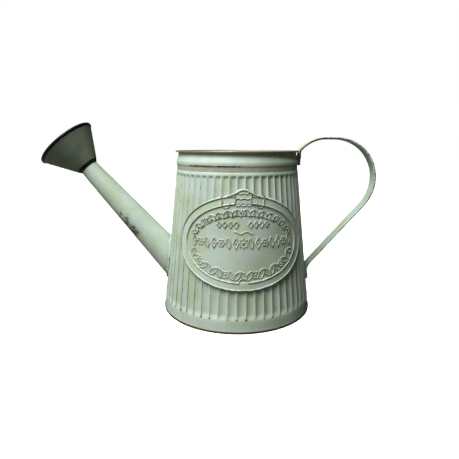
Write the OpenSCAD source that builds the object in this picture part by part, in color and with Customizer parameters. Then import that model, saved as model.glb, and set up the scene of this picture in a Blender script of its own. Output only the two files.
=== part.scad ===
// Fluted watering can in painted sheet steel: a tapered can with an oval relief
// plate, a straight conical spout with a pull-off rose, and a hemmed strap handle.
// Origin: on the can's axis, on the surface it stands on. +Z is up, the spout
// points to -X, the handle to +X, and the oval plate faces -Y.

/* [Can] */
// Radius over the flutes at the foot of the wall
base_r = 75.3; // [64:0.1:92]
// Radius that the wall's taper would reach at the rim
rim_taper_r = 57.1; // [48:0.1:69]
// Height of the rim
can_h = 157.4; // [130:0.2:190]
// Thickness of the steel sheet
sheet = 0.6; // [0.4:0.1:0.8]
// Number of flutes round the wall
flute_count = 56; // [40:1:64]
// Depth of a flute
flute_depth = 1.4; // [0.8:0.1:2]
// Height of the flutes' lower ends
flute_foot = 11.5; // [8:0.5:20]
// Length over which a flute fades out at each end
flute_fade = 4; // [2:0.5:8]

/* [Collar] */
// Height of the smooth collar above the wall's shoulder
collar_h = 17.8; // [16:0.1:24]
// How far the bulge's crest stands out from the wall's taper
bulge_out = 0.9; // [0.5:0.1:1.5]
// Height of the bulge's crest below the rim
bulge_drop = 11; // [10:0.2:13]
// How far the turned lip stands out from the collar
lip_out = 2.5; // [2:0.1:4]
// Thickness of the turned lip
lip_t = 1.4; // [1.2:0.1:2]

/* [Base] */
// Height of the base's turned-up edge
base_edge_h = 2; // [1.4:0.1:3]
// How far the wall is drawn in at its foot, inside the base's edge
foot_in = 0.5; // [0.2:0.1:0.8]

/* [Oval plate] */
// Height of the plate's middle
plate_z = 80.2; // [70:0.2:90]
// Half of the plate's height, without the crest
plate_half_h = 42; // [32:0.5:46]
// Half of the angle that the plate wraps round the can
plate_half_angle = 54; // [35:1:60]
// Turn of the plate's middle towards the handle
plate_turn = 4.5; // [-6:0.5:6]
// Thickness of the plate's field
plate_t = 0.9; // [0.6:0.1:1.5]
// How far the plate's border stands up from its field
border_up = 0.7; // [0.3:0.1:1]
// Width of the border at the top and bottom
border_w = 8; // [5:0.5:10]
// Width of the border at the sides, as an angle round the can
border_angle = 8; // [5:0.5:10]
// Radius of the round crest at the top of the plate
crest_r = 10; // [8:0.5:12]
// How far the crest stands above the oval
crest_up = 4.6; // [2:0.2:6]

/* [Spout] */
// Height at which the spout's axis meets the wall
spout_root_z = 50.6; // [42:0.2:58]
// Angle of the spout above the horizontal
spout_angle = 49.2; // [42:0.2:56]
// Length of the spout's cone from the wall to its tip, along the axis
spout_len = 118.5; // [95:0.1:145]
// Radius of the spout where its axis meets the wall
spout_root_r = 15.4; // [13:0.1:17]
// Radius of the spout's cone at its tip
spout_tip_r = 8.8; // [8:0.1:10]
// Width of the solder bead round the spout's root
solder_w = 2.2; // [1.5:0.1:3]

/* [Rose] */
// Length of the sleeve's plug inside the spout's tip
plug_len = 10; // [8:0.5:14]
// Length of the sleeve's flare between the spout and the rose
flare_len = 2.6; // [2:0.1:4]
// Radius of the sleeve's flare where the rose's cone starts
flare_r = 11.2; // [10.5:0.1:13]
// Length of the rose's cone
rose_len = 28.5; // [24:0.5:34]
// Radius over the rose's rolled rim
rose_r = 29.6; // [25:0.1:36]
// Radius of the wire-like roll at the rose's rim
rose_roll_r = 1.1; // [0.8:0.1:1.4]
// Height of the face's dome
face_dome = 2.4; // [1:0.2:4]
// Diameter of a spray hole
spray_d = 1.6; // [1:0.1:2]
// Number of rings of spray holes round the middle one
spray_rings = 4; // [2:1:5]

/* [Handle] */
// Width of the strap
strap_w = 14; // [11:0.5:18]
// Thickness of the strap over its hemmed edges
hem_t = 2; // [1.6:0.1:2.4]
// Width of each hem
hem_w = 2.2; // [1.6:0.1:3]
// Thickness of the strap's web
web_t = 0.8; // [0.6:0.1:1]
// Radius of the loop's big bend, along the strap's middle line
loop_r = 39.3; // [32:0.1:46]
// Distance of the strap's farthest place from the can's axis
handle_reach = 134.9; // [126:0.2:150]
// Height of the strap's top above the rim
handle_up = 11.7; // [9:0.1:16]
// Slope of the strap's straight lower run
run_angle = 49.8; // [46:0.2:54]
// Slope at which the strap leaves the rim
leave_angle = 46.6; // [42:0.2:50]
// Radius of the bend at the rim
rim_bend_r = 4; // [3:0.5:4]
// Radius of the bend at the lower end
foot_bend_r = 13; // [8:0.5:14]
// Length of the flat tab at the lower end, below the bend
foot_tab = 7; // [6:0.5:10]
// Length of the flat tab below the rim
rim_tab = 14; // [12:0.5:15]

/* [Rivets] */
// Height of a rivet's head
rivet_head_h = 1.1; // [0.8:0.1:1.5]

/* [Hidden] */
// gap between pieces that seat on each other and stay put
seat_gap = 0.05;
// running clearance of the sleeve in the spout, and of the rose on the sleeve
run_gap = 0.06;
// end play of the rose's hub between the sleeve's flare and its turned end
end_play = 0.3;
// how far the sleeve's flare covers the edge of the spout's tip
flare_cover = 0.15;
// straight length left between the bends at the rim and over its shoulder
bend_clear = 0.3;
// how far the wall is turned in at its top, to meet the collar
shoulder_in = 0.4;
// height of the wall's plain shoulder above the flutes
shoulder_h = 2.2;
// how far the collar's neck stands out from the end of the wall's taper
neck_out = 0.2;
// clearance of the rivets' heads from the hems and from each other
rivet_clear = 0.2;
// smoothness of round pieces
$fn = 96;

paint = [0.69, 0.74, 0.67];
dark_paint = [0.29, 0.33, 0.28];
rivet_paint = [0.62, 0.67, 0.60];

// ---- the can's taper ----

function taper_r(z) = base_r + (rim_taper_r - base_r) * z / can_h;

taper_angle = atan((base_r - rim_taper_r) / can_h);

// a ring between two distances out from the taper, from z_low to z_high
module taper_ring(in, out, z_low, z_high) {
    rotate_extrude()
        polygon([[taper_r(z_low) + in, z_low], [taper_r(z_low) + out, z_low],
                 [taper_r(z_high) + out, z_high], [taper_r(z_high) + in, z_high]]);
}

// everything inside the taper, let out by a gap
module taper_solid(gap) {
    rotate_extrude()
        polygon([[0, -can_h], [taper_r(-can_h) + gap, -can_h],
                 [taper_r(2 * can_h) + gap, 2 * can_h], [0, 2 * can_h]]);
}

// ---- fluted wall ----

collar_foot = can_h - collar_h;
wall_foot = sheet + seat_gap;
flute_head = collar_foot - shoulder_h;
steps_per_flute = 4;
wall_steps = flute_count * steps_per_flute;

// height of each ring of points, the flutes' share of full depth and the distance in from the taper
wall_rings = [[wall_foot, 0, foot_in], [base_edge_h, 0, foot_in], [flute_foot * 0.6, 0, foot_in / 3],
              [flute_foot, 0, 0], [flute_foot + flute_fade * 0.35, 0.7, 0],
              [flute_foot + flute_fade, 1, 0], [flute_head - flute_fade / 2, 1, 0],
              [flute_head, 0, 0], [flute_head + shoulder_h * 0.4, 0, shoulder_in * 0.1],
              [flute_head + shoulder_h * 0.8, 0, shoulder_in * 0.5], [collar_foot, 0, shoulder_in]];
ring_count = len(wall_rings);

// a flute is a shallow parabola between two sharp arrises
function flute_share(step) =
    let (across = (step % steps_per_flute) / steps_per_flute)
    1 - pow(2 * across - 1, 2);

function wall_point(ring, step, inward) =
    let (z = wall_rings[ring][0],
         flute = wall_rings[ring][1] * flute_depth * flute_share(step),
         r = taper_r(z) - flute - wall_rings[ring][2] - inward,
         a = step * 360 / wall_steps)
    [r * cos(a), r * sin(a), z];

wall_points = [for (inward = [0, sheet], ring = [0 : ring_count - 1], step = [0 : wall_steps - 1])
               wall_point(ring, step, inward)];

function wall_index(side, ring, step) =
    (side * ring_count + ring) * wall_steps + step % wall_steps;

// two triangles over four points given in order
function two_triangles(a, b, c, d) = [[a, b, c], [a, c, d]];

outer_faces = [for (ring = [0 : ring_count - 2], step = [0 : wall_steps - 1], face = two_triangles(
    wall_index(0, ring, step), wall_index(0, ring + 1, step),
    wall_index(0, ring + 1, step + 1), wall_index(0, ring, step + 1))) face];
inner_faces = [for (ring = [0 : ring_count - 2], step = [0 : wall_steps - 1], face = two_triangles(
    wall_index(1, ring, step), wall_index(1, ring, step + 1),
    wall_index(1, ring + 1, step + 1), wall_index(1, ring + 1, step))) face];
foot_faces = [for (step = [0 : wall_steps - 1], face = two_triangles(
    wall_index(0, 0, step), wall_index(0, 0, step + 1),
    wall_index(1, 0, step + 1), wall_index(1, 0, step))) face];
head_faces = [for (step = [0 : wall_steps - 1], face = two_triangles(
    wall_index(0, ring_count - 1, step), wall_index(1, ring_count - 1, step),
    wall_index(1, ring_count - 1, step + 1), wall_index(0, ring_count - 1, step + 1))) face];

spout_hole_r = spout_root_r - 2.5;

module fluted_wall() {
    color(paint)
    difference() {
        polyhedron(wall_points, concat(outer_faces, inner_faces, foot_faces, head_faces));
        at_spout(-spout_root_r) cylinder(r = spout_hole_r, h = 2 * spout_root_r);
        rivet_holes(foot_rivet_z);
    }
}

// ---- collar with bulge and lip ----

bulge_z = can_h - bulge_drop;
bulge_r = taper_r(bulge_z) + bulge_out;
collar_top_r = taper_r(can_h) + neck_out;
lip_r = collar_top_r + lip_out;
// the collar stands flush on the wall's top edge, with a skirt inside the wall
band_r = taper_r(collar_foot) - shoulder_in;
skirt_r = band_r - sheet - seat_gap;
ledge_z = collar_foot + seat_gap;
skirt_z = flute_head + 0.1;

// outer line of the collar from the ledge to the underside of the lip, as [r, z]
collar_line = [
    [band_r, ledge_z], [band_r, bulge_z - 2.8], [bulge_r - 0.15, bulge_z - 1.2], [bulge_r, bulge_z],
    [bulge_r - 0.2, bulge_z + 1.6], [(2 * bulge_r + collar_top_r) / 3, bulge_z + 3.4],
    [collar_top_r + 0.1, bulge_z + 6.4], [collar_top_r, can_h - lip_t]];

module top_collar() {
    color(paint)
    difference() {
        rotate_extrude()
            polygon(concat(
                [[skirt_r, skirt_z], [skirt_r, ledge_z]],
                collar_line,
                [[lip_r - lip_t / 3, can_h - lip_t], [lip_r, can_h - lip_t * 2 / 3],
                 [lip_r, can_h - lip_t / 3], [lip_r - lip_t / 3, can_h],
                 [collar_top_r - sheet, can_h]],
                [for (i = [len(collar_line) - 1 : -1 : 1]) collar_line[i] - [sheet, 0]],
                [[band_r - sheet, ledge_z + sheet * 1.5], [skirt_r - sheet, ledge_z + sheet / 3],
                 [skirt_r - sheet, skirt_z]]));
        rivet_holes(rim_rivet_z);
    }
}

// ---- base ----

fold_r = base_r - foot_in + seat_gap;
base_edge_r = fold_r + sheet;

module base_plate() {
    color(paint)
    rotate_extrude()
        polygon([[0, 0], [base_edge_r - 0.3, 0], [base_edge_r, 0.3], [base_edge_r, base_edge_h - 0.2],
                 [base_edge_r - 0.2, base_edge_h], [fold_r, base_edge_h], [fold_r, sheet], [0, sheet]]);
}

// ---- oval plate ----

outline_steps = 72;

// points of an oval that wraps round the taper, flattened on the plane x, z
function wrapped_oval(half_angle, half_h) =
    [for (i = [0 : outline_steps - 1])
        let (turn = i * 360 / outline_steps, z = plate_z + half_h * sin(turn))
        [taper_r(z) * sin(half_angle * cos(turn)), z]];

module plate_outline() {
    polygon(wrapped_oval(plate_half_angle, plate_half_h));
    translate([0, plate_z + plate_half_h + crest_up - crest_r]) circle(crest_r);
}

module border_opening() {
    polygon(wrapped_oval(plate_half_angle - border_angle, plate_half_h - border_w));
}

// stands a drawing on the plane x, z up in front of the can
module towards_front() {
    rotate([90, 0, 0]) linear_extrude(base_r + border_w) children();
}

plate_low = plate_z - plate_half_h - border_w;
plate_high = plate_z + plate_half_h + crest_up + border_w;

module oval_plate() {
    color(paint)
    rotate(plate_turn)
    union() {
        intersection() {
            taper_ring(seat_gap, plate_t, plate_low, plate_high);
            towards_front() plate_outline();
        }
        intersection() {
            taper_ring(plate_t / 2, plate_t + border_up, plate_low, plate_high);
            towards_front() difference() {
                plate_outline();
                border_opening();
            }
        }
    }
}

// ---- spout ----

spout_slope = (spout_root_r - spout_tip_r) / spout_len;
// the cone goes on below the wall's surface as far as the can cuts it off
spout_below = 2 * spout_root_r;

function spout_r(along) = spout_root_r - spout_slope * along;

// places children on the spout's axis, a distance along it from the wall
module at_spout(along) {
    translate([-taper_r(spout_root_z), 0, spout_root_z])
        rotate([0, spout_angle - 90, 0])
            translate([0, 0, along]) children();
}

module spout_tube() {
    color(paint)
    difference() {
        at_spout(0) rotate_extrude()
            polygon([[spout_r(-spout_below), -spout_below], [spout_tip_r, spout_len],
                     [spout_tip_r - sheet, spout_len], [spout_r(-spout_below) - sheet, -spout_below]]);
        taper_solid(seat_gap);
    }
}

module spout_solder() {
    color(paint)
    intersection() {
        at_spout(0) rotate_extrude()
            polygon([[spout_r(-spout_below) + seat_gap, -spout_below],
                     [spout_r(-spout_below) + solder_w, -spout_below],
                     [spout_r(spout_below) + solder_w, spout_below],
                     [spout_r(spout_below) + seat_gap, spout_below]]);
        taper_ring(seat_gap, solder_w, 0, collar_foot);
    }
}

// ---- rose ----

plug_r = spout_tip_r - sheet - run_gap;
flare_start = spout_len + seat_gap;
flare_end = flare_start + flare_len;
cone_start = flare_end + seat_gap;
hub_in_r = plug_r + run_gap;
hub_end = cone_start + sheet;
turned_start = hub_end + end_play;
turned_out = 1;
rim_at = cone_start + rose_len;
cone_end = rim_at - rose_roll_r - seat_gap;
cone_end_r = rose_r - rose_roll_r;
cone_slope = (cone_end_r - flare_r) / (cone_end - cone_start);
cone_wall = sheet / cos(atan(cone_slope));

// a plug in the spout's tip, a flare that covers the joint, and a turned end that holds the rose on
module rose_sleeve() {
    color(dark_paint)
    at_spout(0) rotate_extrude()
        polygon([[plug_r - sheet, spout_len - plug_len], [plug_r, spout_len - plug_len],
                 [plug_r, flare_start], [spout_tip_r + flare_cover, flare_start],
                 [flare_r, flare_end], [plug_r, flare_end], [plug_r, turned_start],
                 [plug_r + turned_out, turned_start], [plug_r + turned_out, turned_start + sheet],
                 [plug_r - sheet, turned_start + sheet]]);
}

// a cone on a flat hub that turns on the sleeve
module rose_cone() {
    color(dark_paint)
    at_spout(0) rotate_extrude()
        polygon([[hub_in_r, cone_start], [flare_r, cone_start],
                 [cone_end_r, cone_end], [cone_end_r - cone_wall, cone_end],
                 [flare_r - cone_wall + cone_slope * sheet, hub_end], [hub_in_r, hub_end]]);
}

face_r = rose_r - 1.5 * rose_roll_r;
face_steps = 8;
// radius of the sphere that the domed face is part of
dome_r = (face_r * face_r + face_dome * face_dome) / (2 * face_dome);

function dome_line(r, lift) = [r, rim_at + sqrt(dome_r * dome_r - r * r) - dome_r + face_dome + lift];

module rose_face() {
    spray_pitch = face_r / (spray_rings + 0.7);
    color(dark_paint)
    at_spout(0) difference() {
        union() {
            rotate_extrude()
                polygon(concat(
                    [for (i = [0 : face_steps]) dome_line(face_r * i / face_steps, 0)],
                    [for (i = [face_steps : -1 : 0]) dome_line(face_r * i / face_steps, sheet)]));
            translate([0, 0, rim_at]) rotate_extrude()
                translate([rose_r - rose_roll_r, 0]) circle(rose_roll_r, $fn = 32);
        }
        for (ring = [0 : spray_rings]) {
            holes = max(1, 6 * ring);
            for (i = [0 : holes - 1])
                rotate(i * 360 / holes + ring * 8)
                    translate([ring * spray_pitch, 0, rim_at - 1]) cylinder(d = spray_d, h = face_dome + 3);
        }
    }
}

// ---- handle ----

loop_top = can_h + handle_up;
loop_x = handle_reach - loop_r;
bend_step = 6;

// middle line of the tab on the can's lower wall; its hems touch the flutes beside the middle
function foot_tab_x(z) = sqrt(pow(taper_r(z), 2) - pow(strap_w / 2 - hem_w, 2)) + seat_gap + hem_t / 2;

// the two tangent lines of the big bend and the places where the strap would turn without bends
rim_corner = [lip_r + seat_gap + hem_t / 2, can_h];
rim_tab_end = [bulge_r + seat_gap + hem_t / 2, can_h - rim_tab];
shoulder_corner = [rim_corner[0] + handle_up / tan(leave_angle), loop_top];
rim_bend_len = rim_bend_r * tan((90 - leave_angle) / 2);
shoulder_bend_r = (handle_up / sin(leave_angle) - rim_bend_len - bend_clear) / tan(leave_angle / 2);
run_corner = [loop_x + loop_r * tan((180 - run_angle) / 2), loop_top];

// height at which the straight run meets the tab on the wall, found in a few steps
function foot_z(z, tries) = tries == 0 ? z :
    foot_z(loop_top - (run_corner[0] - foot_tab_x(z)) * tan(run_angle), tries - 1);
foot_corner = let (z = foot_z(can_h / 4, 8)) [foot_tab_x(z), z];
foot_bend_len = foot_bend_r * tan((90 - run_angle + taper_angle) / 2);
foot_end_z = foot_corner[1] - foot_bend_len - foot_tab;
foot_end = [foot_tab_x(foot_end_z), foot_end_z];

strap_corners = [rim_tab_end, rim_corner, shoulder_corner, run_corner, foot_corner, foot_end];
strap_bends = [0, rim_bend_r, shoulder_bend_r, loop_r, foot_bend_r, 0];

function unit(v) = v / norm(v);
function left_of(v) = [-v[1], v[0]];

// points of the bend at one corner of a line
function bend_points(before, corner, after, radius) =
    let (to = unit(corner - before), away = unit(after - corner),
         side = to[0] * away[1] - to[1] * away[0] > 0 ? 1 : -1,
         turn = acos(max(-1, min(1, to * away))),
         start = corner - to * radius * tan(turn / 2),
         centre = start + side * left_of(to) * radius,
         first = atan2(start[1] - centre[1], start[0] - centre[0]),
         steps = max(2, ceil(turn / bend_step)))
    [for (i = [0 : steps])
        let (a = first + side * turn * i / steps) centre + radius * [cos(a), sin(a)]];

strap_line = concat([rim_tab_end],
    [for (i = [1 : len(strap_corners) - 2], p = bend_points(strap_corners[i - 1], strap_corners[i],
                                                           strap_corners[i + 1], strap_bends[i])) p],
    [foot_end]);

// direction of the strap at a point of its middle line
function strap_heading(i) =
    unit(strap_line[min(i + 1, len(strap_line) - 1)] - strap_line[max(i - 1, 0)]);

function strap_side(offset) =
    [for (i = [0 : len(strap_line) - 1]) strap_line[i] + offset * left_of(strap_heading(i))];

function backwards(list) = [for (i = [len(list) - 1 : -1 : 0]) list[i]];

module strap_layer(thick, width) {
    rotate([90, 0, 0]) linear_extrude(width, center = true)
        polygon(concat(strap_side(thick / 2), backwards(strap_side(-thick / 2))));
}

module handle_strap() {
    color(paint)
    difference() {
        union() {
            strap_layer(web_t, strap_w - hem_w);
            for (side = [-1, 1])
                translate([0, side * (strap_w - hem_w) / 2, 0]) strap_layer(hem_t, hem_w);
        }
        rivet_holes(rim_rivet_z);
        rivet_holes(foot_rivet_z);
    }
}

// ---- rivets ----

rim_rivet_z = (can_h - lip_t + bulge_z) / 2 + 0.4;
foot_rivet_z = foot_end_z + foot_tab / 2;
rivet_hole_gap = 0.05;
rivet_head_d = strap_w / 2 - hem_w - 2 * rivet_clear;
rivet_pitch = rivet_head_d + 3 * rivet_clear;
rivet_d = rivet_head_d * 0.55;

// middle of the strap at the rivets of each tab
rim_rivet_x = rim_tab_end[0] + (rim_corner[0] - rim_tab_end[0]) * (rim_rivet_z - rim_tab_end[1])
            / (rim_corner[1] - rim_tab_end[1]);
foot_rivet_x = foot_tab_x(foot_rivet_z);

module at_rivets(z) {
    for (side = [-1, 1])
        translate([0, side * rivet_pitch / 2, z]) rotate([0, 90, 0]) children();
}

// holes through the wall and the strap on the handle's side
module rivet_holes(z) {
    at_rivets(z) translate([0, 0, taper_r(z) / 2])
        cylinder(d = rivet_d + 2 * rivet_hole_gap, h = taper_r(z));
}

// a pair of rivets from a clinched head inside the can to a round head on the strap
module rivet_pair(z, inside, outside) {
    rise = rivet_head_h;
    at_rivets(z) rotate_extrude()
        polygon([[0, inside - rise], [rivet_head_d / 2 - 0.4, inside - rise],
                 [rivet_head_d / 2, inside - rise / 2], [rivet_head_d / 2, inside],
                 [rivet_d / 2, inside], [rivet_d / 2, outside],
                 [rivet_head_d / 2, outside], [rivet_head_d / 2 - 0.2, outside + rise * 0.5],
                 [rivet_head_d / 3, outside + rise * 0.85], [0, outside + rise]]);
}

module rim_rivets() {
    color(rivet_paint)
    rivet_pair(rim_rivet_z, sqrt(pow(collar_top_r - sheet - seat_gap, 2) - pow(rivet_pitch, 2)),
               rim_rivet_x + web_t);
}

module foot_rivets() {
    color(rivet_paint)
    rivet_pair(foot_rivet_z,
               sqrt(pow(taper_r(foot_rivet_z) - flute_depth - 2 * sheet, 2) - pow(rivet_pitch, 2)),
               foot_rivet_x + web_t / 2 + tan(taper_angle) * rivet_head_d / 2 + 3 * seat_gap);
}

fluted_wall();
top_collar();
base_plate();
oval_plate();
spout_tube();
spout_solder();
rose_sleeve();
rose_cone();
rose_face();
handle_strap();
rim_rivets();
foot_rivets();
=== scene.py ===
"""A fluted sheet-steel watering can: rubbed sage paint, oval relief plate, dark pull-off rose.

Lengths in this file are millimetres, as on a maker's drawing, and every mesh is written in metres.
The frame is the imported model's: +Z up from the ground on the can's axis, the spout towards -X,
the handle towards +X and the oval plate facing -Y.
"""

import math

import bmesh
import bpy
import numpy as np
from mathutils import Euler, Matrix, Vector
from mathutils.geometry import delaunay_2d_cdt


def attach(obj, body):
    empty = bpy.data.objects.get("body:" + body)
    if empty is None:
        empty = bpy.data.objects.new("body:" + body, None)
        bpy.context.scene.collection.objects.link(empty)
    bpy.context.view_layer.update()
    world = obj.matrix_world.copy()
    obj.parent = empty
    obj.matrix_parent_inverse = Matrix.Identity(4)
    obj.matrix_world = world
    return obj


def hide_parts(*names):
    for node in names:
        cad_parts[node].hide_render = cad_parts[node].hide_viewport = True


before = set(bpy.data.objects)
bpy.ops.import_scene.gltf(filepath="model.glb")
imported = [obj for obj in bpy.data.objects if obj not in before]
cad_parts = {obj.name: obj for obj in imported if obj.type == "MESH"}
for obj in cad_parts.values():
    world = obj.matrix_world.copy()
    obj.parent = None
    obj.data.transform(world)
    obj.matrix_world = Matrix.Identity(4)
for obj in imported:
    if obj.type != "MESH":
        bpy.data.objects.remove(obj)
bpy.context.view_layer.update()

MM = 0.001

# ---- the can ----
BASE_R = 75.3
RIM_TAPER_R = 57.1
CAN_H = 157.4
SHEET = 0.6
SEAT_GAP = 0.05
FLUTES = 56
FLUTE_DEPTH = 1.4
FLUTE_FOOT = 11.5
COLLAR_H = 17.8
SHOULDER_H = 2.2
SHOULDER_IN = 0.4
BULGE_OUT = 0.9
BULGE_DROP = 11.0
BULGE_HALF_H = 1.2
BULGE_FOOT = 3.0
NECK_RISE = 6.4
NECK_OUT = 0.2
LIP_OUT = 2.5
LIP_T = 1.4
BASE_EDGE_H = 2.0
FOOT_IN = 0.5
PAN_STEP_R = 60.0
PAN_STEP_UP = 0.5

# ---- the oval plate ----
PLATE_Z = 80.2
PLATE_HALF_H = 42.0
PLATE_HALF_ANGLE = 54.0
PLATE_TURN = 4.5
PLATE_T = 0.9
BORDER_W = 8.0
BORDER_ANGLE = 8.0
CREST_R = 10.0
CREST_UP = 4.6

# ---- the spout ----
SPOUT_ROOT_Z = 50.6
SPOUT_ANGLE = 49.2
SPOUT_LEN = 118.5
SPOUT_ROOT_R = 15.4
SPOUT_TIP_R = 8.8
SOLDER_R = 1.15

# ---- the rose ----
RUN_GAP = 0.06
PLUG_LEN = 10.0
FLARE_LEN = 2.6
FLARE_R = 11.2
FLARE_COVER = 0.15
TURNED_OUT = 1.0
END_PLAY = 0.3
ROSE_LEN = 28.5
ROSE_R = 29.6
ROSE_ROLL_R = 1.1
FACE_DOME = 2.4
SPRAY_R = 0.8
SPRAY_RINGS = 4

# ---- the handle ----
STRAP_W = 14.0
HEM_T = 2.0
HEM_W = 2.2
WEB_T = 0.8
LOOP_R = 39.3
HANDLE_REACH = 134.9
HANDLE_UP = 11.7
RUN_ANGLE = 49.8
LEAVE_ANGLE = 46.6
RIM_BEND_R = 4.0
BEND_CLEAR = 0.3
FOOT_BEND_R = 13.0
FOOT_TAB = 7.0
RIM_TAB = 14.0
RIVET_HEAD_H = 1.1
RIVET_CLEAR = 0.2

# ---- derived places ----
TAPER = (BASE_R - RIM_TAPER_R) / CAN_H
COLLAR_FOOT = CAN_H - COLLAR_H
BULGE_Z = CAN_H - BULGE_DROP
WALL_FOOT = SHEET + SEAT_GAP
FLUTE_HEAD = COLLAR_FOOT - SHOULDER_H
FOLD_R = BASE_R - FOOT_IN + SEAT_GAP
SPOUT_SLOPE = (SPOUT_ROOT_R - SPOUT_TIP_R) / SPOUT_LEN
PLUG_R = SPOUT_TIP_R - SHEET - RUN_GAP
FLARE_START = SPOUT_LEN + SEAT_GAP
FLARE_END = FLARE_START + FLARE_LEN
CONE_START = FLARE_END + SEAT_GAP
HUB_IN_R = PLUG_R + RUN_GAP
HUB_END = CONE_START + SHEET
TURNED_START = HUB_END + END_PLAY
ROSE_RIM = CONE_START + ROSE_LEN
RIVET_HEAD_D = STRAP_W / 2 - HEM_W - 2 * RIVET_CLEAR
RIVET_PITCH = RIVET_HEAD_D + 3 * RIVET_CLEAR
RIVET_D = RIVET_HEAD_D * 0.55


def taper_r(z):
    """Radius over the can's flutes at a height."""
    return BASE_R + (RIM_TAPER_R - BASE_R) * z / CAN_H


BULGE_R = taper_r(BULGE_Z) + BULGE_OUT
BAND_R = taper_r(COLLAR_FOOT) - SHOULDER_IN
NECK_R = taper_r(CAN_H) + NECK_OUT
LIP_R = NECK_R + LIP_OUT


# ======== camera ========

CAMERA_PLACE = (-3.6, -372.9, 161.4)
CAMERA_TILT = 12.64
CAMERA_TURN = 0.61
CAMERA_ROLL = -0.13
CAMERA_LENS = 29.12
CAMERA_BACK_W = 36.0
CAMERA_NEAREST = 10.0


def place_object(name, data):
    """Puts a mesh, lamp or lens into the scene under a name."""
    item = bpy.data.objects.new(name, data)
    bpy.context.scene.collection.objects.link(item)
    return item


def make_camera():
    """An eye close in front of the oval plate, just above the rim and tilted down a little."""
    lens = bpy.data.cameras.new("camera")
    lens.lens = CAMERA_LENS
    lens.sensor_width = CAMERA_BACK_W
    lens.clip_start = CAMERA_NEAREST * MM
    camera = place_object("camera", lens)
    camera.location = Vector(CAMERA_PLACE) * MM
    camera.rotation_euler = Euler(
        (math.radians(90 - CAMERA_TILT), math.radians(CAMERA_ROLL), math.radians(CAMERA_TURN)), "XYZ")
    bpy.context.scene.camera = camera


# ======== finishes ========

class Value:
    """A number that varies over a surface: arithmetic on it adds Math nodes to its finish."""

    def __init__(self, finish, socket):
        self.finish = finish
        self.socket = socket

    def math(self, operation, *operands, clamp=False):
        settings = {"operation": operation, "use_clamp": clamp}
        return self.finish.add("ShaderNodeMath", settings, dict(enumerate(operands)))

    def __add__(self, other):
        return self.math("ADD", self, other)

    def __sub__(self, other):
        return self.math("SUBTRACT", self, other)

    def __rsub__(self, other):
        return self.math("SUBTRACT", other, self)

    def __mul__(self, other):
        return self.math("MULTIPLY", self, other)

    __radd__ = __add__
    __rmul__ = __mul__

    def clamped(self):
        return self.math("ADD", self, 0.0, clamp=True)

    def step(self, low, high):
        """0 below low, 1 above high, and smooth between them."""
        settings = {"interpolation_type": "SMOOTHSTEP"}
        return self.finish.add("ShaderNodeMapRange", settings, {0: self, 1: low, 2: high, 3: 0.0, 4: 1.0})


class Finish:
    """A paint or metal finish, built from nodes."""

    def __init__(self, name):
        self.material = bpy.data.materials.new(name)
        self.material.use_nodes = True
        self.tree = self.material.node_tree
        self.tree.nodes.clear()
        self.shader = self.tree.nodes.new("ShaderNodeBsdfPrincipled")
        output = self.tree.nodes.new("ShaderNodeOutputMaterial")
        self.tree.links.new(self.shader.outputs["BSDF"], output.inputs["Surface"])
        self.place = self.add("ShaderNodeTexCoord", output="Object")

    def add(self, node_type, settings=None, inputs=None, output=0):
        """Adds a node, sets it up, gives its sockets values or links, and returns one output."""
        node = self.tree.nodes.new(node_type)
        for name, setting in (settings or {}).items():
            setattr(node, name, setting)
        self.feed(node, inputs or {})
        return Value(self, node.outputs[output])

    def feed(self, node, inputs):
        for key, given in inputs.items():
            if isinstance(given, Value):
                self.tree.links.new(given.socket, node.inputs[key])
            else:
                node.inputs[key].default_value = given

    def noise(self, per_metre, detail, roughness=0.55, stretch=None):
        """Noise of a given fineness; stretch scales the place first, to draw it out one way."""
        where = self.place
        if stretch:
            where = self.add("ShaderNodeVectorMath", {"operation": "MULTIPLY"}, {0: where, 1: stretch})
        inputs = {"Vector": where, "Scale": per_metre, "Detail": detail, "Roughness": roughness}
        return self.add("ShaderNodeTexNoise", None, inputs)

    def mask(self, name):
        """A mask that the piece's maker wrote on its mesh."""
        return self.add("ShaderNodeAttribute", {"attribute_name": name}, output="Fac")

    def mix(self, factor, under, over):
        return self.add("ShaderNodeMix", {"data_type": "RGBA"}, {0: factor, 6: under, 7: over}, output=2)

    def bump(self, height, strength, depth_mm, below=None):
        inputs = {"Height": height, "Strength": strength, "Distance": depth_mm * MM}
        if below:
            inputs["Normal"] = below
        return self.add("ShaderNodeBump", None, inputs)

    def shade(self, **inputs):
        """Feeds the surface shader by the names of its sockets, with _ for a space."""
        self.feed(self.shader, {name.replace("_", " "): given for name, given in inputs.items()})


def rgb(red, green, blue):
    """A colour given as it looks on a screen, 0 to 255, made linear."""
    def linear(level):
        share = level / 255
        return share / 12.92 if share <= 0.04045 else ((share + 0.055) / 1.055) ** 2.4
    return (linear(red), linear(green), linear(blue), 1.0)


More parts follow.
